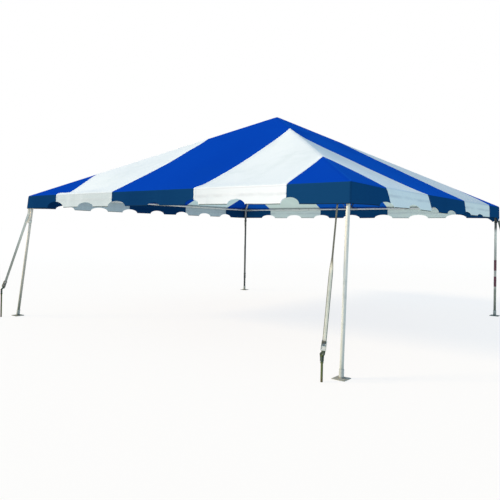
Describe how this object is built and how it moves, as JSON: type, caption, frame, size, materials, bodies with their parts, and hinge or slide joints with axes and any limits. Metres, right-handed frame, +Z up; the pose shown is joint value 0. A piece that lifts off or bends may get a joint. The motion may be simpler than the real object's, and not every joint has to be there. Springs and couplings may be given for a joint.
{
  "type": "frame tent",
  "caption": "Frame tent with a square striped pyramid roof on a slip-fit tube frame, a scalloped valance, corner legs on foot plates, and webbing guy straps tied to ground stakes.",
  "frame": {"origin": "on the ground under the peak, midway between the corners", "axes": "+Z up, -Y out of the front, +X out of the right side; the corner nearest in the picture is at +X -Y"},
  "size_m": [6.4816, 6.902, 3.6049],
  "materials": {
    "roof_fabric": "coated fabric in blue and white stripes, satin",
    "tube_steel": "galvanised tube, dulled",
    "fitting_steel": "galvanised weldment, dulled",
    "foot_steel": "galvanised plate, scuffed",
    "webbing": "woven polyester webbing",
    "stake_steel": "bare steel, weathered"
  },
  "bodies": {
    "root": {"roof_front": "roof_fabric", "roof_right": "roof_fabric", "roof_back": "roof_fabric", "roof_left": "roof_fabric", "valance_front": "roof_fabric", "valance_right": "roof_fabric", "valance_back": "roof_fabric", "valance_left": "roof_fabric", "crown_fitting": "fitting_steel", "corner_fitting_front_left": "fitting_steel", "corner_fitting_front_right": "fitting_steel", "corner_fitting_back_right": "fitting_steel", "corner_fitting_back_left": "fitting_steel", "side_fitting_front": "fitting_steel", "side_fitting_right": "fitting_steel", "side_fitting_back": "fitting_steel", "side_fitting_left": "fitting_steel", "hip_rafter_front_left": "tube_steel", "hip_rafter_front_right": "tube_steel", "hip_rafter_back_right": "tube_steel", "hip_rafter_back_left": "tube_steel", "side_rafter_front": "tube_steel", "side_rafter_right": "tube_steel", "side_rafter_back": "tube_steel", "side_rafter_left": "tube_steel", "eave_rail_front_1": "tube_steel", "eave_rail_front_2": "tube_steel", "eave_rail_right_1": "tube_steel", "eave_rail_right_2": "tube_steel", "eave_rail_back_1": "tube_steel", "eave_rail_back_2": "tube_steel", "eave_rail_left_1": "tube_steel", "eave_rail_left_2": "tube_steel", "leg_front_left": "tube_steel", "leg_front_right": "tube_steel", "leg_back_right": "tube_steel", "leg_back_left": "tube_steel", "foot_plate_front_left": "foot_steel", "foot_plate_front_right": "foot_steel", "foot_plate_back_right": "foot_steel", "foot_plate_back_left": "foot_steel", "guy_strap_front_left": "webbing", "guy_strap_front_right": "webbing", "guy_strap_back_right": "webbing", "guy_strap_back_left": "webbing", "stake_front_left": "stake_steel", "stake_front_right": "stake_steel", "stake_back_right": "stake_steel", "stake_back_left": "stake_steel"}
  },
  "joints": []
}
